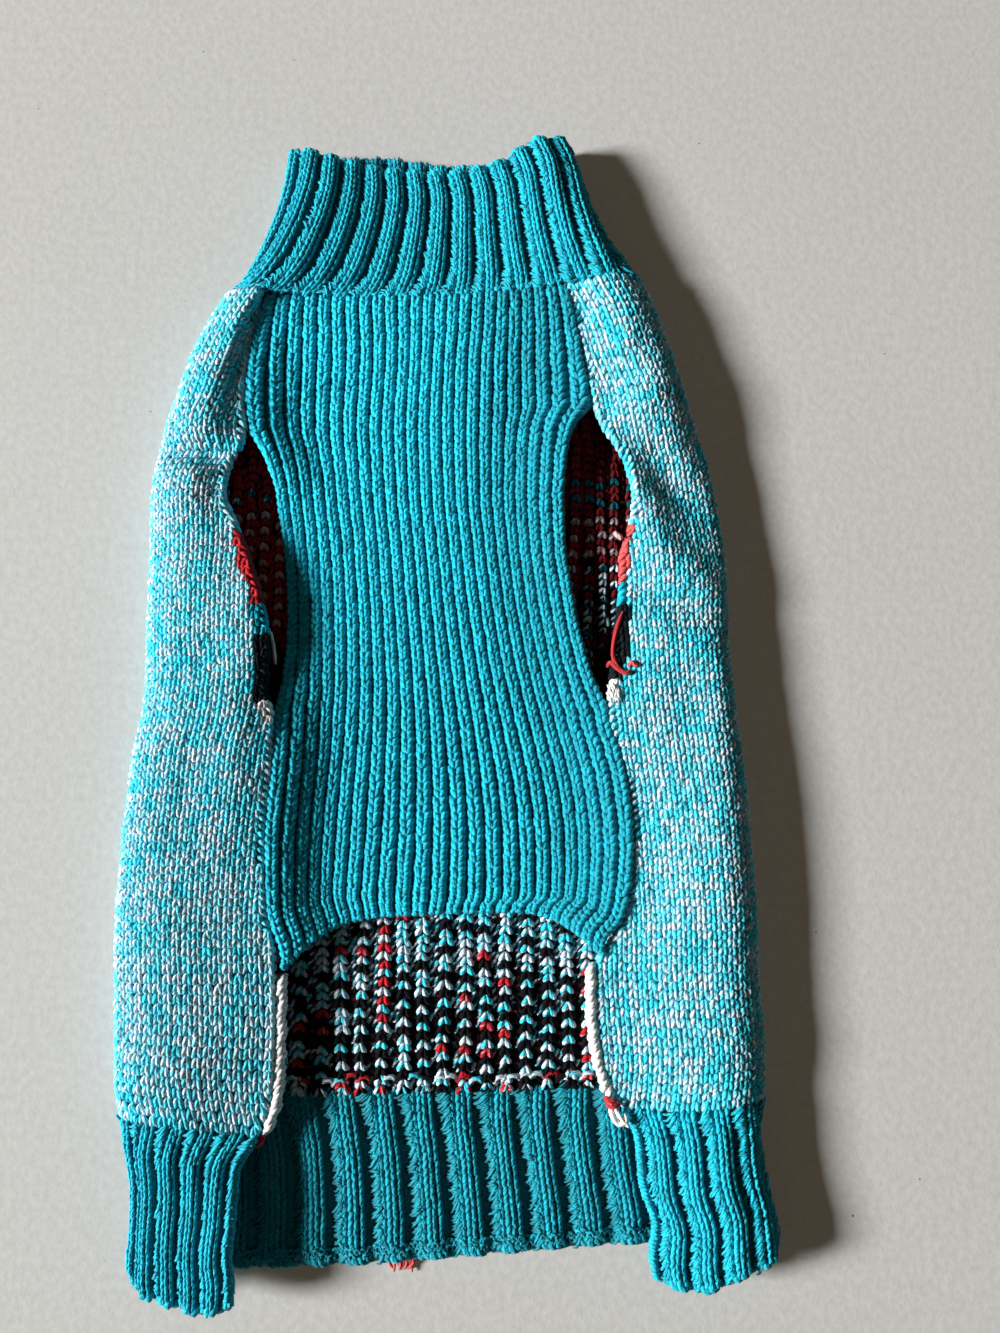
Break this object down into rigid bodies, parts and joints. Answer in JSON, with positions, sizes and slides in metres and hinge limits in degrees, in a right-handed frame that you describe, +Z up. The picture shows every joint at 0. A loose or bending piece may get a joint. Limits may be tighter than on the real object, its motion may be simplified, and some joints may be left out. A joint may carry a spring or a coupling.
{
  "type": "dog sweater",
  "caption": "Knitted dog sweater with a turtleneck, ribbed belly panel, leg slits and ribbed hem, laid out flat with its belly side up.",
  "frame": {"origin": "middle of the underside, on the table", "axes": "+Y from the hem towards the collar, +X to the right as seen from above with the belly panel up, +Z up from the table"},
  "size_m": [0.1988, 0.3602, 0.0156],
  "materials": {
    "marl_knit": "marl stockinette of teal and white acrylic yarn outside, speckled jacquard of teal, white, red and black inside",
    "teal_rib": "teal acrylic rib knit, matt with a slight sheen on the stitches",
    "white_edging": "white crocheted chain edging"
  },
  "bodies": {
    "root": {"back_panel": "marl_knit", "belly_panel": "teal_rib", "collar": "teal_rib", "hem_rib": "teal_rib", "edge_chain_left": "white_edging", "edge_chain_right": "white_edging"}
  },
  "joints": []
}
